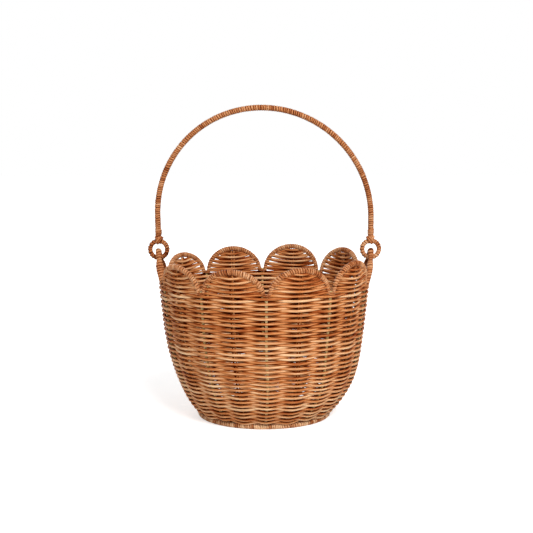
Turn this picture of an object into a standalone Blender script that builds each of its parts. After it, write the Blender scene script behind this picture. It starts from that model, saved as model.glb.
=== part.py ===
"""Scalloped rattan flower basket with a swinging hoop handle, built strand by strand.

Metres, +Z up. The origin is on the floor under the middle of the basket, the handle
spans X and the front of the basket faces -Y.
"""

import math

import bpy
import numpy as np
from mathutils import Vector

# Driving dimensions, in metres

RIM_HEIGHT = 0.1335  # floor to the top of the wall, which is the valley between scallops
WALL_FOOT_HEIGHT = 0.0066  # floor to where the stakes turn up
WALL_FOOT_STEP = 0.0013  # middle of the foot ring out to the stake line at the turn
BELLY_SWELL = 0.0239  # how far the rounded lower wall swells out
BELLY_POWER = 4.4  # a higher power keeps the swell nearer the floor
RIM_FLARE = 0.013  # how far the upper wall leans out by the rim

SCALLOPS_PER_SIDE = 4  # between one handle ear and the other
STAKE_DIAMETER = 0.0022
WEAVER_DIAMETER = 0.0022
STRAND_GAP = 0.0003  # clear space between neighbouring strands
WEAVERS_PER_RUN = 5  # lengths of rattan joined end to end up the wall

HOOP_DIAMETER = 0.005  # wrapped hoop round a scallop
SCALLOP_RISE = 0.0247  # rim to the middle of the hoop's top

FOOT_RING_RADIUS = 0.0645
FOOT_RING_DIAMETER = 0.0052
BASE_MAT_THICKNESS = 0.0038  # over a spoke, with the rows that pass above and below it
BASE_MAT_HOLLOW = 0.0011  # how far each face sinks between two spokes
BASE_MAT_EYE = 0.012  # radius of the flat middle, where the spokes cross
BASE_MAT_EASE = 0.004  # from the eye out to the full depth of the hollows
STAKE_TUCK = 0.007  # length of stake that lies on the base mat

EAR_DIAMETER = 0.0048
EAR_STAND_OFF = 0.0015  # how far an ear's feet stand outside the stake line
PIVOT_RISE = 0.0257  # rim to the line that the handle swings about
PIVOT_OVERHANG = 0.0038  # how far the middle of a ring hangs outside the stake line at the rim
RING_RADIUS = 0.0085  # middle of the ring's own strand
RING_DIAMETER = 0.0047
HANDLE_DIAMETER = 0.0052
HANDLE_LEG = 0.022  # straight length above each ring
HANDLE_TOP_HEIGHT = 0.3078  # floor to the middle of the grip

# Worked out from the driving dimensions

WALL_FOOT_RADIUS = FOOT_RING_RADIUS + WALL_FOOT_STEP
SEGMENT_COUNT = 2 * (SCALLOPS_PER_SIDE + 1)
EAR_SEGMENTS = (0, SEGMENT_COUNT // 2)
STAKE_COUNT = 2 * SEGMENT_COUNT
STAKE_STEP = 2 * math.pi / STAKE_COUNT
SEGMENT_STEP = 2 * STAKE_STEP
WEAVE_START = 2 * STAKE_STEP  # stake where each row begins, beside the right ear
WEAVE_REACH = STAKE_DIAMETER / 2 + WEAVER_DIAMETER / 2 + STRAND_GAP
STAKE_BED = FOOT_RING_DIAMETER + STAKE_DIAMETER / 2 + STRAND_GAP
HOOP_FOOT = RIM_HEIGHT + STRAND_GAP
PIVOT_HEIGHT = RIM_HEIGHT + PIVOT_RISE
PIVOT_HALF_SPAN = WALL_FOOT_RADIUS + BELLY_SWELL + RIM_FLARE + PIVOT_OVERHANG
EAR_KNEE = HOOP_FOOT + EAR_DIAMETER / 2  # an ear's leg stands upright below this
EAR_LOOP = RING_DIAMETER / 2 + EAR_DIAMETER / 2 + STRAND_GAP  # the ring turns inside this
RING_TOP = PIVOT_HEIGHT + 2 * RING_RADIUS + RING_DIAMETER / 2

RATTAN = {
    "stake_rattan": ((0.56, 0.36, 0.16), 0.55),
    "weaver_rattan": ((0.50, 0.24, 0.09), 0.5),
    "cane_binding": ((0.52, 0.25, 0.10), 0.5),
}


def wall_radius(z):
    """Radius of the stake line at a height; above the rim the flare carries on straight."""
    t = (z - WALL_FOOT_HEIGHT) / (RIM_HEIGHT - WALL_FOOT_HEIGHT)
    swell = 1 - max(0.0, 1 - t) ** BELLY_POWER
    return WALL_FOOT_RADIUS + BELLY_SWELL * swell + RIM_FLARE * t


def wall_normal(z):
    """Outward unit normal of the wall in the plane of radius and height."""
    step = 1e-5
    slope = (wall_radius(z + step) - wall_radius(z)) / step
    length = math.hypot(1, slope)
    return 1 / length, -slope / length


def around(radius, angle, z):
    return Vector((radius * math.cos(angle), radius * math.sin(angle), z))


def on_wall(angle, z, out=0.0):
    """A point that stands a distance out from the stake line."""
    across, up = wall_normal(z)
    return around(wall_radius(z) + out * across, angle, z + out * up)


def wall_run():
    """Heights up the wall and the length of stake from the turn to each of them."""
    heights = np.linspace(WALL_FOOT_HEIGHT, RIM_HEIGHT, 400)
    radii = np.array([wall_radius(z) for z in heights])
    steps = np.hypot(np.diff(heights), np.diff(radii))
    return heights, np.concatenate([[0.0], np.cumsum(steps)])


HEIGHTS, LENGTHS = wall_run()
FIRST_ROW = WEAVE_REACH
TOP_ROW = LENGTHS[-1] - WEAVER_DIAMETER / 2
ROWS_PER_RUN = int((TOP_ROW - FIRST_ROW) / (WEAVER_DIAMETER + STRAND_GAP) + 1) // 2
ROW_PITCH = (TOP_ROW - FIRST_ROW) / (2 * ROWS_PER_RUN - 1)


def material(name):
    found = bpy.data.materials.get(name)
    if found:
        return found
    colour, roughness = RATTAN[name]
    made = bpy.data.materials.new(name)
    made.use_nodes = True
    shader = made.node_tree.nodes["Principled BSDF"]
    shader.inputs["Base Color"].default_value = (*colour, 1)
    shader.inputs["Roughness"].default_value = roughness
    shader.inputs["Metallic"].default_value = 0.0
    return made


def add_object(name, data, finish):
    made = bpy.data.objects.new(name, data)
    data.materials.append(material(finish))
    bpy.data.collections["flower_basket"].objects.link(made)
    return made


def strand(name, points, diameter, finish, sides=4, twist="MINIMUM", closed=False, parent=None):
    """A length of rattan along a line of points, with closed ends or joined into a ring."""
    curve = bpy.data.curves.new(name, "CURVE")
    curve.dimensions = "3D"
    curve.twist_mode = twist
    curve.bevel_depth = diameter / 2
    curve.bevel_resolution = sides // 2 - 2
    curve.use_fill_caps = not closed
    spline = curve.splines.new("POLY")
    spline.points.add(len(points) - 1)
    spline.use_cyclic_u = closed
    origin = parent.location if parent else Vector()
    for point, place in zip(spline.points, points):
        point.co = (*(place - origin), 1)
    made = add_object(name, curve, finish)
    made.parent = parent
    return made


def turned(name, profile, finish):
    """A closed profile of radius and height pairs turned round Z, from its top on the outer side."""
    count = len(profile)
    edges = [(i, (i + 1) % count) for i in range(count)]
    mesh = bpy.data.meshes.new(name)
    mesh.from_pydata([(r, 0, z) for r, z in profile], edges, [])
    screw = add_object(name, mesh, finish).modifiers.new("turn", "SCREW")
    screw.steps = 2 * STAKE_COUNT
    screw.render_steps = 2 * STAKE_COUNT
    screw.use_merge_vertices = True
    screw.merge_threshold = 1e-6


def woven_mat(name, edge, top, finish):
    """A round mat with a flat eye, ridged over each spoke and hollow on both faces between them."""
    count = 2 * STAKE_COUNT
    rings = ((BASE_MAT_EYE, 0), (BASE_MAT_EYE + BASE_MAT_EASE, BASE_MAT_HOLLOW), (edge, BASE_MAT_HOLLOW))
    points = []
    for height, way in ((top, 1), (top - BASE_MAT_THICKNESS, -1)):
        points.append(Vector((0, 0, height)))
        for radius, hollow in rings:
            for i in range(count):
                sunk = way * hollow if i % 2 else 0
                points.append(around(radius, i * STAKE_STEP / 2, height - sunk))
    under = len(points) // 2
    faces = []
    for i in range(count):
        a, b = 1 + i, 1 + (i + 1) % count
        faces += [(0, a, b), (under, under + b, under + a)]
        for _ in rings[1:]:
            c, d = a + count, b + count
            faces += [(a, c, d), (a, d, b)]
            faces += [(under + a, under + d, under + c), (under + a, under + b, under + d)]
            a, b = c, d
        faces += [(a, under + a, under + b), (a, under + b, b)]
    mesh = bpy.data.meshes.new(name)
    mesh.from_pydata(points, [], faces)
    add_object(name, mesh, finish)


def base():
    """Hoop that the basket stands on, flat underneath, with a round woven mat inside it."""
    half = FOOT_RING_DIAMETER / 2
    sides = 6
    reach = half / math.cos(math.pi / sides)
    turns = [math.pi / 2 - (i + 0.5) * 2 * math.pi / sides for i in range(sides)]
    ring = [(FOOT_RING_RADIUS + reach * math.cos(a), half + reach * math.sin(a)) for a in turns]
    turned("foot_ring", ring, "cane_binding")
    woven_mat("base_mat", FOOT_RING_RADIUS - reach - STRAND_GAP, FOOT_RING_DIAMETER, "weaver_rattan")


def stake(name, angle, top, finish):
    """From its tuck on the base mat a stake turns over the foot ring and runs up the wall."""
    tuck_end = FOOT_RING_RADIUS - FOOT_RING_DIAMETER / 2 - STAKE_TUCK
    points = [around(tuck_end, angle, STAKE_BED), around(FOOT_RING_RADIUS, angle, STAKE_BED)]
    low = STAKE_BED + STAKE_DIAMETER / 2
    # closer together low down, where the wall bends most
    points += [on_wall(angle, low + (i / 8) ** 1.6 * (top - low)) for i in range(9)]
    strand(name, points, STAKE_DIAMETER, finish)


def stakes():
    """Valley stakes end at the rim; crown stakes run on up the middle of each scallop or ear."""
    scallop_top = RIM_HEIGHT + SCALLOP_RISE - HOOP_DIAMETER / 2 - STRAND_GAP
    ear_top = ear_rows()[-1] + ROW_PITCH / 2
    for i in range(SEGMENT_COUNT):
        centre = i * SEGMENT_STEP
        top = ear_top if i in EAR_SEGMENTS else scallop_top
        stake(f"crown_stake_{i + 1:02d}", centre, top, "weaver_rattan")
        stake(f"valley_stake_{i + 1:02d}", centre + STAKE_STEP, RIM_HEIGHT, "stake_rattan")


def weave_point(run, n):
    """Where a run of weavers passes its nth stake; each turn steps up over the other run."""
    row = 2 * (n // STAKE_COUNT) + run
    z = float(np.interp(FIRST_ROW + row * ROW_PITCH, LENGTHS, HEIGHTS))
    side = 1 if (n + run) % 2 == 0 else -1
    return on_wall(WEAVE_START + n * STAKE_STEP, z, side * WEAVE_REACH)


def weavers():
    """Two runs of strands chase each other up the wall, each outside every other stake."""
    for run in range(2):
        for k in range(WEAVERS_PER_RUN):
            first = ROWS_PER_RUN * k // WEAVERS_PER_RUN * STAKE_COUNT
            last = ROWS_PER_RUN * (k + 1) // WEAVERS_PER_RUN * STAKE_COUNT - 1
            points = [weave_point(run, n) for n in range(first, last + 1)]
            # ends butt against the next length halfway between two stakes
            if k > 0:
                points.insert(0, weave_point(run, first - 1).lerp(points[0], 0.51))
            if k < WEAVERS_PER_RUN - 1:
                points.append(points[-1].lerp(weave_point(run, last + 1), 0.49))
            name = f"weaver_{2 * k + run + 1:02d}"
            strand(name, points, WEAVER_DIAMETER, "weaver_rattan", twist="Z_UP")


def infill(name, centre, rows):
    """One strand laid to and fro round a crown stake, given heights and half widths of rows."""
    points = []
    for i, (z, half) in enumerate(rows):
        way = 1 if i % 2 == 0 else -1
        turn = half / wall_radius(z)
        points.append(on_wall(centre - way * turn, z))
        points.append(on_wall(centre, z, way * WEAVE_REACH))
        points.append(on_wall(centre + way * turn, z))
    strand(name, points, WEAVER_DIAMETER, "weaver_rattan")


def scallop(name, centre):
    """A wrapped hoop from valley to valley, filled with a strand laid to and fro."""
    rim_radius = wall_radius(RIM_HEIGHT)
    half = rim_radius * STAKE_STEP - HOOP_DIAMETER / 2 - STRAND_GAP / 2
    rise = RIM_HEIGHT + SCALLOP_RISE - HOOP_FOOT
    points = []
    for i in range(13):
        a = math.pi * i / 12
        z = HOOP_FOOT + rise * math.sin(a)
        points.append(on_wall(centre - half / rim_radius * math.cos(a), z))
    strand(f"scallop_hoop_{name}", points, HOOP_DIAMETER, "cane_binding", sides=6)
    inset = HOOP_DIAMETER / 2 + WEAVER_DIAMETER / 2 + 2 * STRAND_GAP
    rows = []
    z = HOOP_FOOT + WEAVER_DIAMETER / 2
    while z < HOOP_FOOT + 0.95 * (rise - inset):
        share = (z - HOOP_FOOT) / (rise - inset)
        rows.append((z, (half - inset) * math.sqrt(1 - share * share)))
        z += ROW_PITCH
    infill(f"scallop_weave_{name}", centre, rows)


def ear_slope():
    """Angle below level of an ear's straight leg, which leaves the loop round the pivot."""
    half = wall_radius(RIM_HEIGHT) * STAKE_STEP - EAR_DIAMETER / 2 - STRAND_GAP / 2
    drop = PIVOT_HEIGHT - EAR_KNEE
    reach = math.hypot(half, drop)
    return math.atan2(drop, half) + math.asin(EAR_LOOP / reach), half


def ear_rows():
    """Heights of the rows woven under the ring, between an ear's legs."""
    top = PIVOT_HEIGHT - RING_DIAMETER - 2 * WEAVER_DIAMETER
    first = HOOP_FOOT + WEAVER_DIAMETER / 2
    return [first + i * ROW_PITCH for i in range(max(2, int((top - first) / ROW_PITCH) + 1))]


def ear(name, centre):
    """A wrapped loop over the ring with straight legs down to the valleys on both sides."""
    slope, half = ear_slope()
    turns = [slope * (i / 4 - 1) for i in range(9)]
    outline = [(EAR_LOOP * math.sin(a), PIVOT_HEIGHT + EAR_LOOP * math.cos(a)) for a in turns]
    outline = [(-half, HOOP_FOOT), (-half, EAR_KNEE)] + outline + [(half, EAR_KNEE), (half, HOOP_FOOT)]
    foot_radius = wall_radius(RIM_HEIGHT) + EAR_STAND_OFF
    lean = (PIVOT_HALF_SPAN - foot_radius) / (PIVOT_HEIGHT + EAR_LOOP - HOOP_FOOT)
    points = []
    for along, z in outline:
        radius = foot_radius + lean * (z - HOOP_FOOT)
        points.append(around(radius, centre + along / radius, z))
    strand(f"ear_{name}", points, EAR_DIAMETER, "cane_binding", sides=6)
    inset = (EAR_DIAMETER / 2 + WEAVER_DIAMETER / 2 + 2 * STRAND_GAP) / math.sin(slope)
    corner = EAR_LOOP / math.sin(slope)
    rows = [(z, corner + (PIVOT_HEIGHT - z) / math.tan(slope) - inset) for z in ear_rows()]
    infill(f"ear_weave_{name}", centre, rows)


def rim():
    number = 1
    for i in range(SEGMENT_COUNT):
        if i in EAR_SEGMENTS:
            ear("right" if i == 0 else "left", i * SEGMENT_STEP)
        else:
            scallop(number, i * SEGMENT_STEP)
            number += 1


def handle():
    """Hoop handle on two rings that turn in the ears; all of it swings about the pivot."""
    pivot = bpy.data.objects.new("handle_pivot", None)
    pivot.location = (0, 0, PIVOT_HEIGHT)
    pivot.empty_display_size = 0.02
    bpy.data.collections["flower_basket"].objects.link(pivot)
    for name, side in (("left", -1), ("right", 1)):
        middle = Vector((side * PIVOT_HALF_SPAN, 0, PIVOT_HEIGHT + RING_RADIUS))
        turns = [2 * math.pi * i / 20 for i in range(20)]
        points = [middle + RING_RADIUS * Vector((math.cos(a), 0, math.sin(a))) for a in turns]
        strand(f"ring_{name}", points, RING_DIAMETER, "cane_binding", sides=6, closed=True, parent=pivot)
    foot = RING_TOP + STRAND_GAP
    spring = foot + HANDLE_LEG
    points = [Vector((PIVOT_HALF_SPAN, 0, foot))]
    for i in range(25):
        a = math.pi * i / 24
        z = spring + (HANDLE_TOP_HEIGHT - spring) * math.sin(a)
        points.append(Vector((PIVOT_HALF_SPAN * math.cos(a), 0, z)))
    points.append(Vector((-PIVOT_HALF_SPAN, 0, foot)))
    strand("handle_bow", points, HANDLE_DIAMETER, "cane_binding", sides=6, parent=pivot)


def main():
    for old in list(bpy.data.objects):
        bpy.data.objects.remove(old)
    bpy.context.scene.collection.children.link(bpy.data.collections.new("flower_basket"))
    base()
    stakes()
    weavers()
    rim()
    handle()


main()
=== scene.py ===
import math
import random

import bpy
import numpy as np
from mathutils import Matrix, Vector


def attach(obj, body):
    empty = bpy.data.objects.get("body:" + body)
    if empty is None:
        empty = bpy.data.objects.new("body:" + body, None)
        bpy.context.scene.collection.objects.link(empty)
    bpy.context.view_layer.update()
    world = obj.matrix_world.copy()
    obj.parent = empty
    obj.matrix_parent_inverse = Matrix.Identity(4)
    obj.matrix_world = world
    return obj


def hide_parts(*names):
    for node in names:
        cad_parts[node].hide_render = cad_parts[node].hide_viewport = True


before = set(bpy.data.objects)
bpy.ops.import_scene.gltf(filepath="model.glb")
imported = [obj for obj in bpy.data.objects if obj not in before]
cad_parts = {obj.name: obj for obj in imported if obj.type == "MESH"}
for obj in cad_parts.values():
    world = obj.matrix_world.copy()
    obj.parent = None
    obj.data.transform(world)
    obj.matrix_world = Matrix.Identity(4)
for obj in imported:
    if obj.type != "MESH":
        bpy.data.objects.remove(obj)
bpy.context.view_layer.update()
mm = 0.001
tau = 2 * math.pi
print("frame loaded:", len(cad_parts), "CAD nodes")


# colours are written as sRGB hex and turned to linear once, here
def hexColour(code):
    parts = [int(code[i:i + 2], 16) / 255 for i in (1, 3, 5)]
    linear = [c / 12.92 if c <= 0.04045 else ((c + 0.055) / 1.055) ** 2.4 for c in parts]
    return (*linear, 1)


# adds one node, sets its settings, and fills its sockets with values or links
def addNode(tree, kind, sockets=None, **settings):
    node = tree.nodes.new(kind)
    for key, value in settings.items():
        setattr(node, key, value)
    for key, value in (sockets or {}).items():
        if isinstance(value, bpy.types.NodeSocket):
            tree.links.new(value, node.inputs[key])
        else:
            node.inputs[key].default_value = value
    return node


# round rattan core: peeled, split by machine and stained. Long open grain, satin, no skin,
# so the eye sees fine streaks along each strand and a soft highlight on its crown
weaverCore = {
    "name": "rattanCoreStained",
    "slot": "weaver_rattan",
    "dark": "#440F02",
    "deep": "#8E4119",
    "middle": "#C37B43",
    "light": "#F0D0A4",
    "streakAcross": 0.5 * mm,  # real grain is nearer 0.15 mm, drawn coarser so that it shows
    "streakAlong": 14 * mm,
    "roughLow": 0.38,
    "roughHigh": 0.58,
    "shine": 0.12,
    "grainDepth": 0.05 * mm,
}

# raw rattan core: the uprights are left nearly unstained, so they stay pale and a little green
stakeCore = {
    "name": "rattanCoreRaw",
    "slot": "stake_rattan",
    "dark": "#9A7844",
    "deep": "#B8975F",
    "middle": "#D6B67A",
    "light": "#EBD8A4",
    "streakAcross": 0.5 * mm,  # drawn coarser, as above
    "streakAlong": 18 * mm,
    "roughLow": 0.48,
    "roughHigh": 0.68,
    "shine": 0.12,
    "grainDepth": 0.05 * mm,
}

# binding cane: the outer bark shaved flat, with a harder skin, so it shines more than the core
bindingCane = {
    "name": "caneBinding",
    "slot": "cane_binding",
    "dark": "#421104",
    "deep": "#844220",
    "middle": "#B27041",
    "light": "#E3BA90",
    "streakAcross": 0.45 * mm,  # drawn coarser, as above
    "streakAlong": 10 * mm,
    "roughLow": 0.32,
    "roughHigh": 0.52,
    "shine": 0.16,
    "grainDepth": 0.04 * mm,
}

# what the three finishes share
stain = {
    "grainShift": 1.2,  # how far the grain moves the colour between dark and light
    "blotchShift": 0.5,  # and how far blotches do, where the stain took unevenly
    "blotchAcross": 6 * mm,
    "blotchAlong": 40 * mm,
    "deepAt": 0.27,
    "middleAt": 0.52,
    "dullAt": 0.15,  # painted shade: where the colour is darkest, in the painted crevices too, the shine is taken away
    "shinyAt": 0.6,
    "grainLow": 0.3,  # the range of grain over which roughness runs from low to high
    "grainHigh": 0.7,
    "bump": 0.6,
    "ior": 1.5,
}


def rattanMaterial(finish):
    made = bpy.data.materials.new(finish["name"])
    made.use_nodes = True
    tree = made.node_tree
    shader = tree.nodes["Principled BSDF"]
    fibre = addNode(tree, "ShaderNodeAttribute", attribute_name="fibre")
    tone = addNode(tree, "ShaderNodeAttribute", attribute_name="tone")
    # noise in real sizes: two ways across the strand and one along it
    across, along = 1 / finish["streakAcross"], 1 / finish["streakAlong"]
    grainPlace = addNode(tree, "ShaderNodeVectorMath",
                         {0: fibre.outputs["Vector"], 1: (across, across, along)}, operation="MULTIPLY")
    grain = addNode(tree, "ShaderNodeTexNoise",
                    {"Vector": grainPlace.outputs[0], "Scale": 1.0, "Detail": 3.0, "Roughness": 0.55})
    across, along = 1 / stain["blotchAcross"], 1 / stain["blotchAlong"]
    blotchPlace = addNode(tree, "ShaderNodeVectorMath",
                          {0: fibre.outputs["Vector"], 1: (across, across, along)}, operation="MULTIPLY")
    blotch = addNode(tree, "ShaderNodeTexNoise",
                     {"Vector": blotchPlace.outputs[0], "Scale": 1.0, "Detail": 2.0})
    # the strand's own tone, moved to and fro by grain and blotches
    grainShare = addNode(tree, "ShaderNodeMath",
                         {0: grain.outputs["Fac"], 1: stain["grainShift"], 2: -stain["grainShift"] / 2},
                         operation="MULTIPLY_ADD")
    blotchShare = addNode(tree, "ShaderNodeMath",
                          {0: blotch.outputs["Fac"], 1: stain["blotchShift"], 2: -stain["blotchShift"] / 2},
                          operation="MULTIPLY_ADD")
    both = addNode(tree, "ShaderNodeMath",
                   {0: grainShare.outputs[0], 1: blotchShare.outputs[0]}, operation="ADD")
    shade = addNode(tree, "ShaderNodeMath", {0: both.outputs[0], 1: tone.outputs["Fac"]}, operation="ADD")
    ramp = addNode(tree, "ShaderNodeValToRGB", {"Fac": shade.outputs[0]})
    stops = ramp.color_ramp.elements
    stops[0].position = 0.0
    stops[0].color = hexColour(finish["dark"])
    stops[1].position = 1.0
    stops[1].color = hexColour(finish["light"])
    stops.new(stain["deepAt"]).color = hexColour(finish["deep"])
    stops.new(stain["middleAt"]).color = hexColour(finish["middle"])
    rough = addNode(tree, "ShaderNodeMapRange",
                    {"Value": grain.outputs["Fac"],
                     "From Min": stain["grainLow"], "From Max": stain["grainHigh"],
                     "To Min": finish["roughLow"], "To Max": finish["roughHigh"]})
    bump = addNode(tree, "ShaderNodeBump",
                   {"Height": grain.outputs["Fac"], "Distance": finish["grainDepth"],
                    "Strength": stain["bump"]})
    # open fibres scatter most of the shine, and the shine fades with the darker colour, so crevices with
    # painted shade stay dull
    shine = addNode(tree, "ShaderNodeMapRange",
                    {"Value": shade.outputs[0], "From Min": stain["dullAt"], "From Max": stain["shinyAt"],
                     "To Min": 0.0, "To Max": finish["shine"]})
    shader.inputs["Specular IOR Level"].default_value = finish["shine"]
    tree.links.new(shine.outputs["Result"], shader.inputs["Specular IOR Level"])
    tree.links.new(ramp.outputs["Color"], shader.inputs["Base Color"])
    tree.links.new(rough.outputs["Result"], shader.inputs["Roughness"])
    tree.links.new(bump.outputs["Normal"], shader.inputs["Normal"])
    shader.inputs["IOR"].default_value = stain["ior"]
    return made


materials = {finish["slot"]: rattanMaterial(finish) for finish in (weaverCore, stakeCore, bindingCane)}
print("materials made:", ", ".join(m.name for m in materials.values()))


# from 0 to 1 with a slow start and a slow stop
def ease(share):
    return share * share * (3 - 2 * share)


# smooth seeded wander along a length, from about -1 to 1, with one knot each period
def wander(places, period, seed):
    rng = random.Random(seed)
    places = np.asarray(places, float)
    count = int(places.max() / period) + 4
    knots = np.array([rng.uniform(-1, 1) for _ in range(count)])
    where = places / period
    low = np.floor(where).astype(int)
    share = ease(where - low)
    return knots[low] * (1 - share) + knots[low + 1] * share


# a hump of height 1 at the middle, which dies away over the spread
def hump(places, middle, spread):
    return np.exp(-((places - middle) / spread) ** 2)


def unit(v):
    return v / np.maximum(np.linalg.norm(v, axis=-1, keepdims=True), 1e-12)


def runLength(path):
    return np.concatenate([[0.0], np.cumsum(np.linalg.norm(np.diff(path, axis=0), axis=1))])


# how every strand takes its grain and stain, and its painted shade
strandLook = {
    "grainRadius": 1.1 * mm,  # grain is cut from a rod of this radius, whatever the strand's own
    "grainGap": 50 * mm,  # length of rod skipped between one strand and the next
    "edgePower": 4,  # painted shade, darkest close to the two edges, in the crevices between rows
    "againstStake": 0.9,  # painted shade on the side that lies against a stake
}


def newBundle():
    return {"verts": [], "faces": [], "fibre": [], "tone": [], "count": 0, "lengths": 0.0}


# adds one strand to a bundle: an oval tube along a path, thin along thickWay, with its grain and tone
# kept on its points. Painted shade lowers the tone at the strand's two edges, and on the side that lies
# against a stake: the side away from thickWay where the stake shade is above zero, or towards it where it is
# below
def addStrand(bundle, path, halfWide, halfThick, thickWay, tone,
              sides=8, closed=False, edgeShade=0.36, stakeShade=None):
    path = np.asarray(path, float)
    count = len(path)
    if closed:
        along = unit(np.roll(path, -1, 0) - np.roll(path, 1, 0))
    else:
        along = unit(np.gradient(path, axis=0))
    thick = np.broadcast_to(np.asarray(thickWay, float), path.shape)
    thick = unit(thick - (thick * along).sum(1, keepdims=True) * along)
    wide = np.cross(thick, along)
    halfWide = np.broadcast_to(halfWide, count)[:, None, None]
    halfThick = np.broadcast_to(halfThick, count)[:, None, None]
    turn = tau * np.arange(sides) / sides
    cosTurn, sinTurn = np.cos(turn), np.sin(turn)
    rings = (path[:, None] + halfWide * cosTurn[None, :, None] * wide[:, None]
             + halfThick * sinTurn[None, :, None] * thick[:, None])
    first = bundle["count"]
    bundle["verts"].append(rings.reshape(-1, 3))
    lengths = runLength(path) + bundle["lengths"]
    grain = np.empty((count, sides, 3))
    grain[..., 0] = strandLook["grainRadius"] * cosTurn
    grain[..., 1] = strandLook["grainRadius"] * sinTurn
    grain[..., 2] = lengths[:, None]
    bundle["fibre"].append(grain.reshape(-1, 3))
    # painted shade at the two edges, where each row lies in the crevice beside the next
    shade = np.broadcast_to(tone, count)[:, None] - edgeShade * np.abs(cosTurn) ** strandLook["edgePower"]
    # painted shade on the side that lies against a stake
    if stakeShade is not None:
        stakeShadow = np.clip(-(stakeShade * np.abs(stakeShade))[:, None] * sinTurn, 0, 1)
        shade = shade - strandLook["againstStake"] * stakeShadow
    bundle["tone"].append(shade.ravel())
    bundle["lengths"] = lengths[-1] + strandLook["grainGap"]
    bundle["count"] += count * sides
    rows = np.arange(count if closed else count - 1)[:, None]
    cols = np.arange(sides)[None, :]
    after, beside = (rows + 1) % count, (cols + 1) % sides
    quads = np.stack([rows * sides + cols, rows * sides + beside,
                      after * sides + beside, after * sides + cols], -1)
    bundle["faces"] += (quads.reshape(-1, 4) + first).tolist()
    if not closed:
        bundle["faces"].append([first + k for k in reversed(range(sides))])
        bundle["faces"].append([first + (count - 1) * sides + k for k in range(sides)])


def finishPiece(name, bundle, slot, body, nodes):
    mesh = bpy.data.meshes.new(name)
    mesh.from_pydata(np.concatenate(bundle["verts"]).tolist(), [], bundle["faces"])
    mesh.polygons.foreach_set("use_smooth", [True] * len(mesh.polygons))
    fibre = mesh.attributes.new("fibre", "FLOAT_VECTOR", "POINT")
    fibre.data.foreach_set("vector", np.concatenate(bundle["fibre"]).ravel())
    tone = mesh.attributes.new("tone", "FLOAT", "POINT")
    tone.data.foreach_set("value", np.concatenate(bundle["tone"]))
    mesh.materials.append(materials[slot])
    piece = bpy.data.objects.new(name, mesh)
    bpy.context.scene.collection.objects.link(piece)
    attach(piece, body)
    if nodes:
        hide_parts(*nodes)


# how cane lies on every core that is wrapped in it
wrapping = {
    "thick": 1.35 * mm,
    "pointsPerTurn": 14,
    "widthVary": 1.5,  # turns differ in width by this many times the slack
    "lift": 0.03,  # turns stand off the core unevenly by this share
    "liftTurns": 0.7,
    "unevenTurns": 1.3,  # the tone changes over this many turns, and drifts over the next number
    "driftTurns": 9,
    "coreSunk": 0.8,  # the core lies this share of the cane's thickness inside it
    "coreLeast": 0.3 * mm,
    # painted shade: the core, seen only in the gaps between turns, is painted this much darker
    "coreDarker": 0.6,
}


# a core with cane wound round it, turn beside turn; radius may change along the path,
# and so may stretch, which makes it wider along the normal. Painted shade darkens each turn's edges and the
# core seen between the turns
def addWrapped(bundle, path, normal, radius, width, tone, seed, closed=False,
               slack=0.1, uneven=0.16, drift=0.14, stretch=1.0, edgeShade=0.62):
    path = np.asarray(path, float)
    rng = random.Random(seed)
    whole = np.concatenate([path, path[:1]]) if closed else path
    lengths = runLength(whole)
    total = lengths[-1]
    along = unit(np.gradient(whole, axis=0))
    if closed:
        along[0] = along[-1] = unit(path[1] - path[-1])
    normal = np.broadcast_to(np.asarray(normal, float), whole.shape)
    front = unit(normal - (normal * along).sum(1, keepdims=True) * along)
    side = np.cross(along, front)
    radius = np.broadcast_to(radius, len(whole))
    stretch = np.broadcast_to(stretch, len(whole))
    widths = []
    while sum(widths) < total:
        widths.append(width * (1 + rng.uniform(-slack, slack) * wrapping["widthVary"]))
    widths = np.array(widths) * total / sum(widths)
    edges = np.concatenate([[0.0], np.cumsum(widths)])
    turns = np.linspace(0, len(widths), len(widths) * wrapping["pointsPerTurn"] + 1)
    where = np.interp(turns, np.arange(len(edges)), edges)
    halfWide = np.interp(turns - 0.5, np.arange(len(widths)), widths) / 2
    core = np.stack([np.interp(where, lengths, whole[:, i]) for i in range(3)], 1)
    frontHere = unit(np.stack([np.interp(where, lengths, front[:, i]) for i in range(3)], 1))
    sideHere = unit(np.stack([np.interp(where, lengths, side[:, i]) for i in range(3)], 1))
    radiusHere = np.interp(where, lengths, radius)
    angle = tau * turns + rng.uniform(0, tau)
    outward = (frontHere * (np.interp(where, lengths, stretch) * np.cos(angle))[:, None]
               + sideHere * np.sin(angle)[:, None])
    lift = 1 + wrapping["lift"] * wander(turns, wrapping["liftTurns"], seed + 5)
    line = core + outward * ((radiusHere - wrapping["thick"] / 2) * lift)[:, None]
    shade = (tone + uneven * wander(turns, wrapping["unevenTurns"], seed + 1)
             + drift * wander(turns, wrapping["driftTurns"], seed + 2))
    inside = np.maximum(radius - wrapping["thick"] * wrapping["coreSunk"], wrapping["coreLeast"])
    count = len(path)
    addStrand(bundle, path, inside[:count], (inside * stretch)[:count], front[:count],
              tone - wrapping["coreDarker"], closed=closed, edgeShade=0)
    addStrand(bundle, line, halfWide, wrapping["thick"] / 2, outward, shade, edgeShade=edgeShade)


# the wall: a formula for the line that the stakes follow
wall = {
    "rimHeight": 133.5 * mm,
    "footHeight": 6.6 * mm,
    "footRadius": 65.8 * mm,
    "bellySwell": 23.9 * mm,
    "bellyPower": 4.4,
    "rimFlare": 13 * mm,
    "stakes": 20,
    "sway": 1.7 * mm,  # hand-woven, so the belly is fuller on the right
    "swayZ": 42 * mm,
    "swaySpread": 26 * mm,
}
stakeStep = tau / wall["stakes"]
segments = wall["stakes"] // 2  # one scallop or ear each
earSegments = (0, 5)


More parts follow.
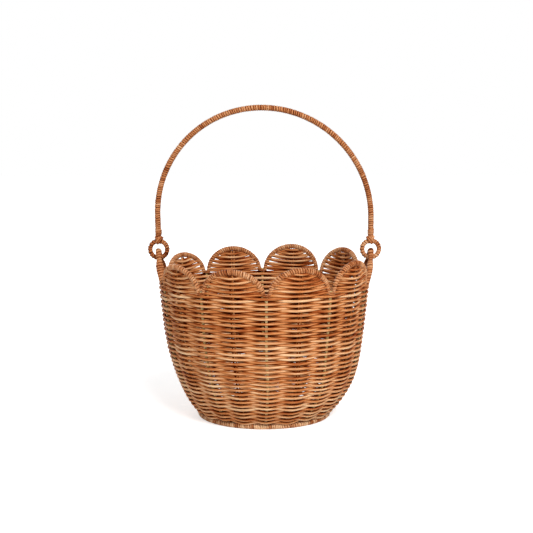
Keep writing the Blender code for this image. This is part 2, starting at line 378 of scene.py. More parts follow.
def wallRadius(z):
    t = (np.asarray(z, float) - wall["footHeight"]) / (wall["rimHeight"] - wall["footHeight"])
    swell = 1 - np.maximum(0.0, 1 - t) ** wall["bellyPower"]
    return wall["footRadius"] + wall["bellySwell"] * swell + wall["rimFlare"] * t


def wallSway(z):
    return wall["sway"] * hump(np.asarray(z, float), wall["swayZ"], wall["swaySpread"])


# the way straight out of the wall
def wallOut(angle, z):
    step = 1e-5
    slope = (wallRadius(np.asarray(z) + step) - wallRadius(z)) / step
    length = np.hypot(1, slope)
    return np.stack([np.cos(angle) / length, np.sin(angle) / length, -slope / length + 0 * angle], -1)


def onWall(angle, z, out=0.0):
    angle, z, out = np.broadcast_arrays(*(np.asarray(part, float) for part in (angle, z, out)))
    r = wallRadius(z)
    base = np.stack([r * np.cos(angle) + wallSway(z), r * np.sin(angle), z], -1)
    return base + wallOut(angle, z) * out[..., None]


rimRadius = float(wallRadius(wall["rimHeight"]))
# lengths along the wall, up from the foot, at a row of heights
heights = np.linspace(wall["footHeight"], wall["rimHeight"], 400)
climbs = np.concatenate([[0.0], np.cumsum(np.hypot(np.diff(heights), np.diff(wallRadius(heights))))])


# weavers: two runs chase each other up the wall, each outside every other stake.
# levels run from 0 at the foot to 1 at the rim, and bays are the spaces between stakes
weave = {
    "strand": 2.45 * mm,
    "firstRow": 1.0 * mm,  # along the wall from the turn
    "reach": 1.85 * mm,  # stake line to the middle of a strand that passes it
    "bend": 1.25,  # power that keeps a strand near the stake line a little longer
    "rows": 58,
    "beaten": (0.11, 0.35, 0.08),  # rows are beaten this much closer, about this level, within this spread
    "eased": (0.06, 0.1, 0.1),  # and near the foot they are this much wider apart
    "lengths": 5,
    "meet": 0.49,  # two lengths meet this far into a bay
    "lastTuck": 0.15,  # and the last end is tucked in this far
    "start": 2,  # stake where a row begins, beside the right ear
    "pointsPerBay": 10,
    "spread": 1.10,  # a strand is pressed wider where it crosses a stake
    "pinch": 1.06,
    "inner": 0.14,  # wider still where it crosses on the inside
    "innerLow": 0.3,  # and more so low down, where the rows turn under
    "lowLevel": 0.5,  # low down starts to count here, and counts in full this much lower
    "lowFade": 0.25,
    "uneven": 0.06,
    "unevenBays": 5,
    "droop": 0.2 * mm,  # an outer pass sags by this much
    "wobble": 0.26 * mm,  # up and down, once within a few bays and once over more
    "wobbleBays": (1.7, 4.3),
    "wobbleSecond": 0.6,
    "wobbleOut": 0.1 * mm,
    "wobbleOutBays": 2.3,
    "tone": 0.6,
    "toneLong": (0.18, 8.5),  # change of tone, and the bays that it takes
    "toneShort": (0.07, 1.7),
    "paintedBounce": 0.06,  # painted light: the lower rows are painted paler, as if lit from the floor, but not the first rows
    "firstRows": 0.15,
}


def weaveWall():
    stakeCount = wall["stakes"]
    rowsPerRun = weave["rows"] // 2
    firstRow, topRow = weave["firstRow"], climbs[-1] - weave["strand"] / 2
    level = np.linspace(0, 1, 201)
    beaten, beatenAt, beatenSpread = weave["beaten"]
    eased, easedAt, easedSpread = weave["eased"]
    spacing = 1 - beaten * hump(level, beatenAt, beatenSpread) + eased * hump(level, easedAt, easedSpread)
    laid = np.cumsum(spacing) - spacing[0]
    laid = firstRow + (topRow - firstRow) * laid / laid[-1]
    for run in range(2):
        for k in range(weave["lengths"]):
            first = rowsPerRun * k // weave["lengths"] * stakeCount
            last = rowsPerRun * (k + 1) // weave["lengths"] * stakeCount - 1
            begin = first - (weave["meet"] if k > 0 else 0)
            # the second run ends sooner, where the top row starts to step up
            end = last + (weave["meet"] if k < weave["lengths"] - 1 or run == 0 else weave["lastTuck"])
            at = np.linspace(begin, end, int((end - begin) * weave["pointsPerBay"]) + 1)
            turn = np.floor(at / stakeCount)
            share = np.clip(at - turn * stakeCount - (stakeCount - 1), 0, 1)
            row = 2 * (turn + ease(share)) + run
            rowLevel = row / (weave["rows"] - 1)
            low = np.clip((weave["lowLevel"] - rowLevel) / weave["lowFade"], 0, 1)
            wave = np.cos(math.pi * (at + run))  # 1 outside a stake, -1 inside one
            seed = 100 * run + k
            far = at - first + 1
            short, long = weave["wobbleBays"]
            wobble = wander(far, short, seed) + weave["wobbleSecond"] * wander(far, long, seed + 7)
            climb = np.interp(rowLevel, level, laid) + weave["wobble"] * wobble - weave["droop"] * wave
            z = np.interp(climb, climbs, heights)
            out = (weave["reach"] * np.sign(wave) * np.abs(wave) ** weave["bend"]
                   + weave["wobbleOut"] * wander(far, weave["wobbleOutBays"], seed + 3))
            angle = (weave["start"] + at) * stakeStep
            inner = weave["inner"] + weave["innerLow"] * low
            halfUp = weave["strand"] / 2 * (weave["pinch"] + (weave["spread"] - weave["pinch"]) * np.abs(wave)
                                            + inner * np.clip(-wave, 0, 1))
            halfUp = halfUp * (1 + weave["uneven"] * wander(far, weave["unevenBays"], seed + 11))
            halfUp = halfUp * np.interp(rowLevel, level, np.minimum(1, spacing))
            tone = weave["tone"]
            for (change, bays), toneSeed in ((weave["toneLong"], seed + 20), (weave["toneShort"], seed + 30)):
                tone = tone + change * wander(far, bays, toneSeed)
            # painted light on the lower rows
            tone = tone + weave["paintedBounce"] * low * np.clip(rowLevel / weave["firstRows"], 0, 1)
            bundle = newBundle()
            # painted shade on the side of each pass that lies against a stake
            addStrand(bundle, onWall(angle, z, out), halfUp, weave["strand"] / 2, wallOut(angle, z), tone,
                      stakeShade=wave)
            number = f"{2 * k + run + 1:02d}"
            finishPiece(f"weaverStrand{number}", bundle, "weaver_rattan", "basket", [f"weaver_{number}"])


weaveWall()
print("wall woven:", weave["rows"], "rows")


# woven by eye, so each scallop came out a little higher or lower than drawn
handTrim = {1: 2.6 * mm, 2: 2.6 * mm, 3: 0.2 * mm, 4: -2.4 * mm,
            6: -1.0 * mm, 7: -1.5 * mm, 8: 0.1 * mm, 9: 2.5 * mm}


# stakes: a single pale core in each valley, a close pair up the middle of each scallop or ear
stakes = {
    "single": 2.5 * mm,
    "pair": 1.75 * mm,
    "pairSpacing": 2.6 * mm,
    "bed": 6.65 * mm,  # height of the end that is tucked in over the foot ring
    "tuckEnd": 54.9 * mm,
    "tuckPoints": 5,
    "turnRadius": 64.5 * mm,
    "turnRise": 1.1 * mm,
    "wallPoints": 34,
    "crowding": 1.4,  # power that sets the points closer together low down
    "stub": 3.0 * mm,  # cut end that stands above the rim in a valley
    "crownTop": 155.2 * mm,
    "earTop": 151 * mm,
    "singleTone": (0.7, 0.2),  # tone, and how far stakes differ
    "pairTone": (0.5, 0.3),
}


def stakePath(angle, top, sideways):
    low = stakes["bed"] + stakes["turnRise"]
    tuck = np.linspace(stakes["tuckEnd"], stakes["turnRadius"], stakes["tuckPoints"])
    tuckLine = np.stack([tuck, 0 * tuck, 0 * tuck + stakes["bed"]], 1)
    z = low + np.linspace(0, 1, stakes["wallPoints"]) ** stakes["crowding"] * (top - low)
    r = wallRadius(z)
    line = np.concatenate([tuckLine, np.stack([r, 0 * r, z], 1)])
    first = stakes["tuckPoints"] - 1
    last = first + 5
    for _ in range(3):  # rounds the turn over the foot ring
        line[first:last] = (line[first - 1:last - 1] + 2 * line[first:last] + line[first + 1:last + 1]) / 4
    line[:, 1] = sideways
    out, side, up = line.T
    cosAngle, sinAngle = math.cos(angle), math.sin(angle)
    x = out * cosAngle - side * sinAngle + wallSway(up)
    return np.stack([x, out * sinAngle + side * cosAngle, up], 1)


def standStakes():
    for i in range(segments):
        for kind, angle in (("crown", 2 * i * stakeStep), ("valley", (2 * i + 1) * stakeStep)):
            bundle = newBundle()
            across = (-math.sin(angle), math.cos(angle), 0)
            rng = random.Random(i * 2 + (kind == "valley"))
            if kind == "valley":
                slot, thick, (tone, differ) = "stake_rattan", stakes["single"], stakes["singleTone"]
                top, places = wall["rimHeight"] + stakes["stub"], (0,)
            else:
                slot, thick, (tone, differ) = "weaver_rattan", stakes["pair"], stakes["pairTone"]
                top = stakes["earTop"] if i in earSegments else stakes["crownTop"] + handTrim[i]
                places = (-stakes["pairSpacing"] / 2, stakes["pairSpacing"] / 2)
            for place in places:
                addStrand(bundle, stakePath(angle, top, place), thick / 2, thick / 2, across,
                          tone + rng.uniform(-differ, differ))
            finishPiece(f"{kind}Stake{i + 1:02d}", bundle, slot, "basket", [f"{kind}_stake_{i + 1:02d}"])


standStakes()
print("stakes stood")


# scallops: a wrapped hoop from valley to valley, filled by one strand that is laid to and fro
# round the pair of stakes
scallops = {
    "hoop": 5.6 * mm,
    "hoopAtFoot": 3.7 * mm,
    "hoopSwell": 0.6,  # power by which a hoop grows from its foot to its top
    "hoopTone": 0.63,
    "hoopPoints": 49,
    "rise": 24.7 * mm,
    "footZ": 133.8 * mm,
    "clear": 0.2 * mm,  # left free beside and above a hoop
    "firstRow": 0.5 * mm,  # above the hoop's foot
    "topClear": 0.4,  # strands left free between the last row and the hoop
    "topShare": 0.985,  # no end of a row goes quite to the top, where it would have no width
    "rowPitch": 2.0 * mm,
    "strand": 1.9 * mm,
    "rowHeight": 2.5 * mm,
    "reach": 1.6 * mm,  # stake line to the middle of a strand that passes it
    "smile": 3.2 * mm,  # rows sag in the middle by up to this much
    "smileFoot": (0.35, 2),  # but by this share at the hoop's foot, growing at this rate
    "smileTop": 3.2,  # and by less towards its top, at this rate
    "loop": 0.9 * mm,  # how far inside the hoop's wrapping a strand turns
    "lean": 1.3 * mm,  # the two rows of a turn come together by up to this much at the hoop
    "wobble": 0.35 * mm,
    "stakeShade": 0.75,  # painted shade: how far the side against the stakes is painted dark
    "rowPoints": 15,
    "turnPoints": 10,
    "outerShare": 0.7,  # from here to its end a row goes round to its side of the hoop
    "flatWide": 0.2,  # a strand is pulled this much flatter each way where it turns round the hoop
    "flatThick": 0.4,
    "wrapWidth": 2.3 * mm,
    "tone": 0.56,
    "toneUnit": 30 * mm,
    "toneLong": (0.16, 1.1),  # change of tone, and the units of length that it takes
    "toneShort": (0.08, 0.35),
}


def hoopWidth(up):
    return scallops["hoopAtFoot"] + (scallops["hoop"] - scallops["hoopAtFoot"]) * up ** scallops["hoopSwell"]


def hoopLine(centre, trim):
    half = rimRadius * stakeStep - scallops["hoop"] / 2 - scallops["clear"]
    rise = wall["rimHeight"] + scallops["rise"] - scallops["footZ"] - scallops["clear"] + trim
    turn = np.linspace(0, math.pi, scallops["hoopPoints"])
    z = scallops["footZ"] + rise * np.sin(turn)
    return onWall(centre - half / rimRadius * np.cos(turn), z), turn, half, rise


# rows give the height of a row's middle, its half width, how far its ends climb
# and how far from the hoop's middle the strand turns round it
def layToAndFro(bundle, centre, rows, seed):
    rng = random.Random(seed)
    leans = [scallops["lean"] * rng.uniform(0, 1) for _ in rows]  # one for each turn
    points = []
    outs = []
    flat = []
    stakeShade = []
    share = np.linspace(-1, 1, scallops["rowPoints"])
    pastStakes = np.cos(share * math.pi / 2)
    toHoop = np.clip((np.abs(share) - scallops["outerShare"]) / (1 - scallops["outerShare"]), 0, 1) ** 2
    for i, (z, half, smile, around) in enumerate(rows):
        way = 1 if i % 2 == 0 else -1  # rows laid one way pass outside the stakes, the others inside
        wobble = scallops["wobble"] * rng.uniform(-1, 1)
        angle = centre + way * share * half / float(wallRadius(z))
        # both rows of a turn lean together at the end they share
        before = leans[i - 1] if i > 0 else 0
        after = leans[i] if i < len(rows) - 1 else 0
        lean = share ** 4 * np.where(share > 0, after, -before)
        height = z + wobble * (1 - share ** 2) + smile * share ** 2 + lean
        out = way * (scallops["reach"] * pastStakes ** 3 + around * toHoop)
        points.append(onWall(angle, height, out))
        outs.append(way * wallOut(angle, height))
        # painted shade on the side that lies against the stakes
        stakeShade.append(scallops["stakeShade"] * pastStakes)
        flat += [0] * len(share)
        if i < len(rows) - 1:
            # round the far side of the hoop, to the end of the next row
            zNext, halfNext, smileNext = rows[i + 1][:3]
            swing = np.linspace(0.5 * math.pi, -0.5 * math.pi, scallops["turnPoints"])[1:-1]
            reach = (half + halfNext) / 2 + around * np.cos(swing)
            angle = centre + way * reach / float(wallRadius(z))
            height = np.linspace(height[-1], zNext + smileNext - after, scallops["turnPoints"])[1:-1]
            points.append(onWall(angle, height, way * around * np.sin(swing)))
            side = np.stack([-np.sin(angle), np.cos(angle), 0 * angle], 1)
            outs.append(way * np.sin(swing)[:, None] * wallOut(angle, height)
                        + way * np.cos(swing)[:, None] * side)
            stakeShade.append(0 * swing)
            flat += [1] * len(swing)
    flat = np.convolve(np.pad(np.array(flat, float), 2, mode="edge"), np.ones(5) / 5, "valid")
    path = np.concatenate(points)
    far = runLength(path) / scallops["toneUnit"] + 1
    tone = scallops["tone"]
    for (change, units), toneSeed in ((scallops["toneLong"], seed + 1), (scallops["toneShort"], seed + 2)):
        tone = tone + change * wander(far, units, toneSeed)
    addStrand(bundle, path, scallops["rowHeight"] / 2 * (1 - scallops["flatWide"] * flat),
              scallops["strand"] / 2 * (1 - scallops["flatThick"] * flat), np.concatenate(outs), tone,
              stakeShade=np.concatenate(stakeShade))


def scallopRows(half, rise):
    rows = []
    footZ = scallops["footZ"]
    least, growth = scallops["smileFoot"]
    z = footZ + scallops["firstRow"]
    top = footZ + rise - scallops["hoop"] / 2 - scallops["topClear"] * scallops["strand"]
    while z < top:
        up = (z - footZ) / rise
        smile = scallops["smile"] * min(1, least + growth * up, scallops["smileTop"] * (1 - up))
        endUp = min(scallops["topShare"], (z + smile - footZ) / rise)
        around = hoopWidth(endUp) / 2 - scallops["loop"]
        rows.append((z, half * math.sqrt(1 - endUp * endUp), smile, around))
        z += scallops["rowPitch"]
    return rows


def raiseScallops():
    scallopSegments = [i for i in range(segments) if i not in earSegments]
    for number, i in enumerate(scallopSegments, start=1):
        centre = 2 * i * stakeStep
        line, turn, half, rise = hoopLine(centre, handTrim[i])
        out = wallOut(np.arctan2(line[:, 1], line[:, 0]), line[:, 2])
        bundle = newBundle()
        addWrapped(bundle, line, out, hoopWidth(np.sin(turn)) / 2, scallops["wrapWidth"],
                   scallops["hoopTone"], 300 + i, slack=0.18, uneven=0.13, edgeShade=0.44)
        finishPiece(f"scallopHoop{number}", bundle, "cane_binding", "basket", [f"scallop_hoop_{number}"])
        bundle = newBundle()
        layToAndFro(bundle, centre, scallopRows(half, rise), 500 + i)
        finishPiece(f"scallopFill{number}", bundle, "weaver_rattan", "basket", [f"scallop_weave_{number}"])


raiseScallops()
print("scallops raised")


# ties: a few turns of cane hold the feet of two hoops and the cut stake in each valley
ties = {
    "turns": 1.7,
    "points": 60,
    "strand": 1.5 * mm,
    "flatter": 0.8,
    "across": 4.2 * mm,
    "through": 2.7 * mm,
    "low": -0.4 * mm,  # below and above the hoops' feet
    "high": 2.2 * mm,
    "slant": 0.8 * mm,
    "tone": (0.5, 0.25),  # tone, and how far ties differ
}


def tieValleys():
    for i in range(segments):
        angle = (2 * i + 1) * stakeStep
        centre = onWall(angle, scallops["footZ"])
        side = np.array([-math.sin(angle), math.cos(angle), 0])
        out = np.array([math.cos(angle), math.sin(angle), 0])
        rng = random.Random(640 + i)
        turn = np.linspace(0, tau * ties["turns"], ties["points"]) + rng.uniform(0, tau)
        rise = np.linspace(ties["low"], ties["high"], ties["points"])
        rise = rise + ties["slant"] * np.sin(turn + rng.uniform(0, tau))
        path = (centre + np.outer(ties["across"] * np.cos(turn), side)
                + np.outer(ties["through"] * np.sin(turn), out) + np.outer(rise, (0, 0, 1)))
        tone, differ = ties["tone"]
        bundle = newBundle()
        addStrand(bundle, path, ties["strand"] / 2, ties["strand"] / 2 * ties["flatter"], path - centre,
                  tone + rng.uniform(-differ, differ))
        finishPiece(f"valleyTie{i + 1:02d}", bundle, "cane_binding", "basket", [])


tieValleys()
print("valleys tied")


# ears: a wrapped loop over each ring, with legs down to the valleys beside it
ears = {
    "diameter": 4.8 * mm,
    "loop": 5.05 * mm,
    "pivotZ": 159.2 * mm,
    "halfSpan": 106.5 * mm,
    "standOff": 1.5 * mm,
    "clear": 0.175 * mm,
    "kneeZ": 136.2 * mm,
    "rowTop": 150.6 * mm,
    "rowEnd": 1.0 * mm,  # rows stop short of the legs by this much
    "rowClimb": 0.8 * mm,
    "crest": 2.2 * mm,  # the loop is pulled up by this much, clear of the ring
    "loopPoints": 21,
    "legPoints": 26,
    "legStart": 0.04,  # share of a leg that lies above its first point
    # the loop's thickness as a share of its diameter, at depths in mm below the top of a round loop
    "slimDepths": (4, 10, 14, 26),
    "slim": (1, 0.94, 0.94, 0.86),
    # and how many times wider than that it is, across the wall: knob, neck, post, foot
    "depths": (0, 2, 7, 11, 16, 29),
    "widths": {"Right": (1.42, 1.4, 1.05, 1.7, 1.65, 1.1), "Left": (1.42, 1.4, 1.2, 2.1, 2.2, 1.8)},
    "inset": {"Right": 0.0, "Left": 1.3 * mm},  # the left one was set a little further in
    "wrap": 3.3 * mm,
    "tone": {"Right": 0.5, "Left": 0.56},
}


# the ear's line laid flat, as places across and up, with the slope of its legs
def earShape():
    half = rimRadius * stakeStep - ears["diameter"] / 2 - ears["clear"]
    drop = ears["pivotZ"] - ears["kneeZ"]
    slope = math.atan2(drop, half) + math.asin(ears["loop"] / math.hypot(half, drop))
    turn = np.linspace(-slope, slope, ears["loopPoints"])
    crest = ears["crest"] * np.maximum(0, np.cos(turn)) ** 4
    outline = np.stack([ears["loop"] * np.sin(turn), ears["pivotZ"] + ears["loop"] * np.cos(turn) + crest], 1)
    legTop = outline[-1]
    knee = np.array([half, ears["kneeZ"]])
    end = np.array([half, scallops["footZ"]])
    shares = np.linspace(ears["legStart"], 1, ears["legPoints"])
    downLeg = [legTop + (knee - legTop) * share for share in shares]
    leg = np.array(downLeg + [knee * 0.5 + end * 0.5, end])
    for _ in range(2):  # eases the knee
        leg[1:-1] = (leg[:-2] + 2 * leg[1:-1] + leg[2:]) / 4
    left = leg[::-1] * np.array([-1, 1])
    return np.concatenate([left, outline, leg]), slope


def raiseEars():
    outline, slope = earShape()
    up = outline[:, 1]
    legRadius = rimRadius + ears["standOff"]
    lean = (ears["halfSpan"] - legRadius) / (ears["pivotZ"] + ears["loop"] - scallops["footZ"])
    depth = (ears["pivotZ"] + ears["loop"] - up) / mm
    thick = ears["diameter"] / 2 * np.interp(depth, ears["slimDepths"], ears["slim"])
    for name, centre, seed in (("Right", 0.0, 700), ("Left", math.pi, 720)):
        radius = legRadius + lean * (up - scallops["footZ"]) - ears["inset"][name]
        angle = centre + outline[:, 0] / radius
        line = np.stack([radius * np.cos(angle), radius * np.sin(angle), up], 1)
        out = np.stack([np.cos(angle), np.sin(angle), 0 * angle], 1)
        bundle = newBundle()
        addWrapped(bundle, line, out, thick, ears["wrap"], ears["tone"][name], seed, uneven=0.14,
                   stretch=np.interp(depth, ears["depths"], ears["widths"][name]), edgeShade=0.4)
        finishPiece(f"ear{name}", bundle, "cane_binding", "basket", [f"ear_{name.lower()}"])
        around = ears["diameter"] / 2 - scallops["loop"]
        rows = []
        z = scallops["footZ"] + scallops["firstRow"]
        while z < ears["rowTop"]:
            reach = ears["loop"] / math.sin(slope) + (ears["pivotZ"] - z) / math.tan(slope)
            rows.append((z, reach - ears["rowEnd"], ears["rowClimb"], around))
            z += scallops["rowPitch"]
        bundle = newBundle()
        layToAndFro(bundle, centre, rows, seed + 5)
        finishPiece(f"earFill{name}", bundle, "weaver_rattan", "basket", [f"ear_weave_{name.lower()}"])


raiseEars()
print("ears raised")


# foot: the wrapped ring that the basket stands on, and the woven mat inside it
foot = {
    "ringRadius": 64.5 * mm,
    "ring": 5.2 * mm,
    "ringWrap": 2.1 * mm,
    # painted light: the ring is painted paler, standing in for floor light in the belly's shade
    "ringTone": 0.86,
    "ringPoints": 180,
    "matZ": 3.3 * mm,
    "spoke": 1.7 * mm,
    "spokeInner": 9 * mm,
    "spokeOuter": 61 * mm,
    "spokeTone": 0.55,
    "rods": 5,  # two layers of short rods cross in the middle
    "rodSpacing": 2.5 * mm,
    "rodHalfLength": 13 * mm,
    "rodHalfWide": 1.2 * mm,
    "rodHalfThick": 0.9 * mm,
    "rodTones": (0.5, 0.6),
    "strand": 1.6 * mm,
    "matInner": 14.5 * mm,
    "matOuter": 60.7 * mm,
    "matRows": 23,
    "rowStep": 7,  # each row starts this many spokes on from the last
    "pointsPerBay": 6,
    "matSpread": 1.02,  # rows are this many times as wide as their spacing
    "matWobble": 0.15 * mm,
    "matWobbleBays": 2,
    "matTone": 0.5,
    "matToneLong": (0.3, 7),  # change of tone, and the bays that it takes
    "matToneShort": (0.1, 2),
}


def layFootRing():
    turn = tau * np.arange(foot["ringPoints"]) / foot["ringPoints"]
    line = np.stack([foot["ringRadius"] * np.cos(turn), foot["ringRadius"] * np.sin(turn),
                     0 * turn + foot["ring"] / 2], 1)
    bundle = newBundle()
    addWrapped(bundle, line, (0, 0, 1), foot["ring"] / 2, foot["ringWrap"], foot["ringTone"], 800,
               closed=True, slack=0.25, uneven=0.45)
    finishPiece("footRing", bundle, "cane_binding", "basket", ["foot_ring"])


def layMat():
    up = (0, 0, 1)
    bays = wall["stakes"]
    z = foot["matZ"]
    bundle = newBundle()
    for i in range(bays):
        angle = i * stakeStep
        r = np.linspace(foot["spokeInner"], foot["spokeOuter"], 6)
        path = np.stack([r * math.cos(angle), r * math.sin(angle), 0 * r + z], 1)
        addStrand(bundle, path, foot["spoke"] / 2, foot["spoke"] / 2, up, foot["spokeTone"])
    wide, thick = foot["rodHalfWide"], foot["rodHalfThick"]
    upperTone, lowerTone = foot["rodTones"]
    for i in range(foot["rods"]):
        offset = (i - foot["rods"] // 2) * foot["rodSpacing"]
        r = np.linspace(-foot["rodHalfLength"], foot["rodHalfLength"], 4)
        upper = np.stack([r, 0 * r + offset, 0 * r + z + thick], 1)
        lower = np.stack([0 * r + offset, r, 0 * r + z - thick], 1)
        addStrand(bundle, upper, wide, thick, up, upperTone)
        addStrand(bundle, lower, wide, thick, up, lowerTone)
    rowPitch = (foot["matOuter"] - foot["matInner"]) / (foot["matRows"] - 1)
    reach = foot["spoke"] / 2 + foot["strand"] / 2
    for row in range(foot["matRows"]):
        at = np.linspace(0, bays, foot["pointsPerBay"] * bays + 1) + foot["rowStep"] * row % bays
        wobble = foot["matWobble"] * wander(at, foot["matWobbleBays"], 830 + row)
        r = foot["matInner"] + row * rowPitch + wobble
        wave = np.cos(math.pi * (at + row))
        angle = at * stakeStep
        path = np.stack([r * np.cos(angle), r * np.sin(angle), z + reach * wave], 1)
        tone = foot["matTone"]
        for (change, length), seed in ((foot["matToneLong"], 860), (foot["matToneShort"], 890)):
            tone = tone + change * wander(at, length, seed + row)
        addStrand(bundle, path, rowPitch / 2 * foot["matSpread"], foot["strand"] / 2, up, tone, sides=6)
    finishPiece("baseMat", bundle, "weaver_rattan", "basket", ["base_mat"])


layFootRing()
layMat()
print("foot laid:", foot["matRows"], "rows in the mat")


# handle: a wrapped bow lashed to two wrapped rings that turn in the ears
handle = {
    "bow": 6.1 * mm,
    "topZ": 307.8 * mm,
    "legFoot": 178.8 * mm,
    "leg": 22 * mm,
    "lean": 1.5 * mm,  # bent by hand, so the bow leans a little to the left
    "leanDrop": 0.4,  # and is lower there by up to this share of the lean
    "footFade": 30 * mm,  # the left foot follows its ear, and less so higher up
    "bowWrap": 2.2 * mm,
    "bowTone": 0.57,
    "archPoints": 121,
    "legPoints": 12,
    "ringRadius": 8.5 * mm,
    "ring": 5.0 * mm,
    "ringWrap": 2.7 * mm,
    # painted shade: the left ring is painted darker, for the shade on the side away from the key light
    "ringTone": {"Right": 0.55, "Left": 0.35},
    "ringPoints": 72,
}


def hangBow():
    span = ears["halfSpan"]
    spring = handle["legFoot"] + handle["leg"]
    turn = np.linspace(0, math.pi, handle["archPoints"])
    archX = span * np.cos(turn) - handle["lean"] * np.sin(turn)
    archZ = (spring + (handle["topZ"] - spring) * np.sin(turn)
             - handle["leanDrop"] * handle["lean"] * np.sin(2 * turn))
    arch = np.stack([archX, 0 * turn, archZ], 1)
    legZ = np.linspace(handle["legFoot"], spring, handle["legPoints"])[:-1]
    right = np.stack([0 * legZ + span, 0 * legZ, legZ], 1)
    left = (right * np.array([-1, 1, 1]))[::-1]
    line = np.concatenate([right, arch, left])
    follow = np.exp(-(line[:, 2] - handle["legFoot"]) / handle["footFade"])
    line[:, 0] += np.where(line[:, 0] < 0, ears["inset"]["Left"] * follow, 0)
    bundle = newBundle()
    addWrapped(bundle, line, (0, 1, 0), handle["bow"] / 2, handle["bowWrap"], handle["bowTone"], 900,
               slack=0.15, uneven=0.11, drift=0.07)
    finishPiece("handleBow", bundle, "cane_binding", "handle", ["handle_bow"])


# lashing: cane loops go aslant round the top of a ring and the foot of the bow, under a short collar
lashing = {
    # for each loop: the way it slants, how far it is shifted and half its depth
    "loops": ((1, -1.1 * mm, 2.9 * mm), (1, 1.1 * mm, 2.85 * mm), (-1, 0.0, 2.7 * mm)),
    "loopPoints": 36,
    "halfLength": 4.35 * mm,
    "slant": (0.62, 0.785),  # how far a loop runs across and down
    "middle": (-0.4 * mm, 0.9 * mm),  # from the top of the ring, across and up
    "strapHalfWide": 1.25 * mm,
    "strapHalfThick": 0.45 * mm,
    # painted shade: the left lashing is painted darker, for the shade away from the key light
    "tone": {"Right": 0.57, "Left": 0.43},
    "differ": 0.12,
    "collarFrom": 3.6 * mm,  # above the foot of the bow
    "collarTo": 8.5 * mm,
    "collarPoints": 8,
    "collarRadius": 3.4 * mm,
    "collarWrap": 2.2 * mm,
    # painted shade: the left collar is painted darker, for the shade away from the key light
    "collarTone": {"Right": 0.51, "Left": 0.41},
}


def hangRings():
    centreZ = ears["pivotZ"] + handle["ringRadius"]
    across, down = lashing["slant"]
    turn = tau * np.arange(handle["ringPoints"]) / handle["ringPoints"]
    swing = np.linspace(0, tau, lashing["loopPoints"] + 1)[:-1]
    collarZ = np.linspace(handle["legFoot"] + lashing["collarFrom"],
                          handle["legFoot"] + lashing["collarTo"], lashing["collarPoints"])
    for name, side, seed in (("Right", 1, 920), ("Left", -1, 940)):
        footX = side * (ears["halfSpan"] - ears["inset"][name])
        ring = np.stack([footX + handle["ringRadius"] * np.cos(turn), 0 * turn,
                         centreZ + handle["ringRadius"] * np.sin(turn)], 1)
        bundle = newBundle()
        addWrapped(bundle, ring, (0, 1, 0), handle["ring"] / 2, handle["ringWrap"],
                   handle["ringTone"][name], seed, closed=True, slack=0.18, edgeShade=0.4)
        finishPiece(f"ring{name}", bundle, "cane_binding", "handle", [f"ring_{name.lower()}"])
        bundle = newBundle()
        knot = np.array([footX, 0, centreZ + handle["ringRadius"]])
        for k, (slant, shift, through) in enumerate(lashing["loops"]):
            way = slant * side
            lengthways = np.array([across * way, 0, -down])
            sideways = np.array([down * way, 0, across])
            middle = knot + np.array([lashing["middle"][0] * way, 0, lashing["middle"][1]])
            path = (middle + shift * sideways + np.outer(lashing["halfLength"] * np.cos(swing), lengthways)
                    + np.outer(through * np.sin(swing), (0, 1, 0)))
            tone = lashing["tone"][name] + lashing["differ"] * math.cos(2.3 * k + seed)  # no two alike
            addStrand(bundle, path, lashing["strapHalfWide"], lashing["strapHalfThick"],
                      path - path.mean(0), tone, closed=True)
        collar = np.stack([0 * collarZ + footX, 0 * collarZ, collarZ], 1)
        addWrapped(bundle, collar, (0, 1, 0), lashing["collarRadius"], lashing["collarWrap"],
                   lashing["collarTone"][name], seed + 9)
        finishPiece(f"lashing{name}", bundle, "cane_binding", "handle", [])


hangBow()
hangRings()
print("handle hung")


# camera: where the photograph was taken from, with a lens fitted to the rim, the foot and the rings
cameraSet = {
    "lens": 78.38,
    "sensor": 36,
    "place": (-23.1 * mm, -1153.7 * mm, 286.1 * mm),
    "pitch": 6.72,  # degrees down
    "heading": 1.147,  # degrees to the right
    "shift": 0.00435,
    "clipStart": 0.01,
}


def setCamera():
    scene = bpy.context.scene
    camera = bpy.data.cameras.new("camera")
    camera.lens = cameraSet["lens"]
    camera.sensor_width = cameraSet["sensor"]
    camera.shift_x = cameraSet["shift"]
    camera.clip_start = cameraSet["clipStart"]
    holder = bpy.data.objects.new("camera", camera)
    holder.location = cameraSet["place"]
    holder.rotation_euler = (math.radians(90 - cameraSet["pitch"]), 0, math.radians(-cameraSet["heading"]))
    scene.collection.objects.link(holder)
    scene.camera = holder


# studio: white paper, soft key from the upper right, low fill from the left and a dim lamp behind
studio = {
    "world": 0.27,
    "paper": "#F4F4F4",
    "paperHalf": 6.0,
    "liftNear": (0.25, 0.56),  # glow of the paper for the camera, at two distances from the basket
    "liftFar": (1.6, 0.95),
    "aim": (0, 0, 0.12),
    # watts, size and place of each lamp
    "lamps": {
        "key": (30, 0.8, (0.45, -1.25, 1.2)),
        "fill": (3.2, 1.2, (-1.3, -0.7, 0.6)),
        "back": (7, 1.2, (-0.5, 1.4, 0.9)),
    },
}


# white to the camera and in reflections, dimmer as a light
def setWorld():
    world = bpy.data.worlds.new("studio")
    bpy.context.scene.world = world
    world.use_nodes = True
    tree = world.node_tree
    path = addNode(tree, "ShaderNodeLightPath")
    seen = addNode(tree, "ShaderNodeMath",
                   {0: path.outputs["Is Camera Ray"], 1: path.outputs["Is Glossy Ray"]}, operation="MAXIMUM")
    seen = addNode(tree, "ShaderNodeMath",
                   {0: seen.outputs[0], 1: path.outputs["Is Transmission Ray"]}, operation="MAXIMUM")
    strength = addNode(tree, "ShaderNodeMapRange",
                       {"Value": seen.outputs[0], "To Min": studio["world"], "To Max": 1.0})
    background = tree.nodes["Background"]
    background.inputs["Color"].default_value = (1, 1, 1, 1)
    tree.links.new(strength.outputs["Result"], background.inputs["Strength"])


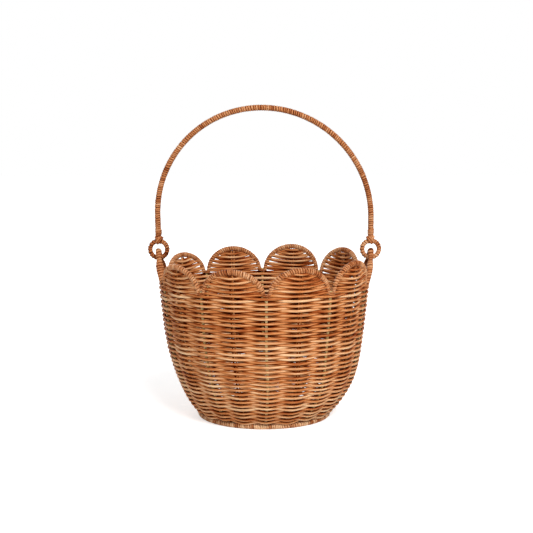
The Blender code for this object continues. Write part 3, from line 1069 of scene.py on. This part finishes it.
# matt studio paper: no shine at all, so the eye sees plain white and the basket's soft shadow
def whitePaper():
    paper = bpy.data.materials.new("whitePaper")
    paper.use_nodes = True
    tree = paper.node_tree
    shader = tree.nodes["Principled BSDF"]
    shader.inputs["Base Color"].default_value = hexColour(studio["paper"])
    shader.inputs["Roughness"].default_value = 0.9
    shader.inputs["Specular IOR Level"].default_value = 0.0
    path = addNode(tree, "ShaderNodeLightPath")
    spot = addNode(tree, "ShaderNodeNewGeometry")
    away = addNode(tree, "ShaderNodeVectorMath", {0: spot.outputs["Position"]}, operation="LENGTH")
    # far from the lamps the paper would fade to grey, so it is lifted there for the camera alone
    near, nearLift = studio["liftNear"]
    far, farLift = studio["liftFar"]
    lift = addNode(tree, "ShaderNodeMapRange",
                   {"Value": away.outputs["Value"], "From Min": near, "From Max": far,
                    "To Min": nearLift, "To Max": farLift})
    # but not inside the foot ring, where the paper lies in the dark
    beyond = addNode(tree, "ShaderNodeMapRange",
                     {"Value": away.outputs["Value"], "From Min": foot["ringRadius"] - foot["ring"] / 2,
                      "From Max": foot["ringRadius"], "To Max": lift.outputs["Result"]})
    glow = addNode(tree, "ShaderNodeMath",
                   {0: path.outputs["Is Camera Ray"], 1: beyond.outputs["Result"]}, operation="MULTIPLY")
    shader.inputs["Emission Color"].default_value = (1, 1, 1, 1)
    tree.links.new(glow.outputs[0], shader.inputs["Emission Strength"])
    return paper


def setStudio():
    scene = bpy.context.scene
    setWorld()
    half = studio["paperHalf"]
    mesh = bpy.data.meshes.new("floor")
    corners = [(-half, -half, 0), (half, -half, 0), (half, half, 0), (-half, half, 0)]
    mesh.from_pydata(corners, [], [(0, 1, 2, 3)])
    mesh.materials.append(whitePaper())
    floor = bpy.data.objects.new("floor", mesh)
    scene.collection.objects.link(floor)
    for name, (power, size, place) in studio["lamps"].items():
        lamp = bpy.data.lights.new(name, "AREA")
        lamp.energy = power
        lamp.size = size
        stand = bpy.data.objects.new(name, lamp)
        stand.location = place
        stand.rotation_euler = (Vector(studio["aim"]) - stand.location).to_track_quat("-Z", "Y").to_euler()
        scene.collection.objects.link(stand)
    scene.view_settings.view_transform = "Standard"


setCamera()
setStudio()
print("camera and studio set")

bpy.context.view_layer.update()
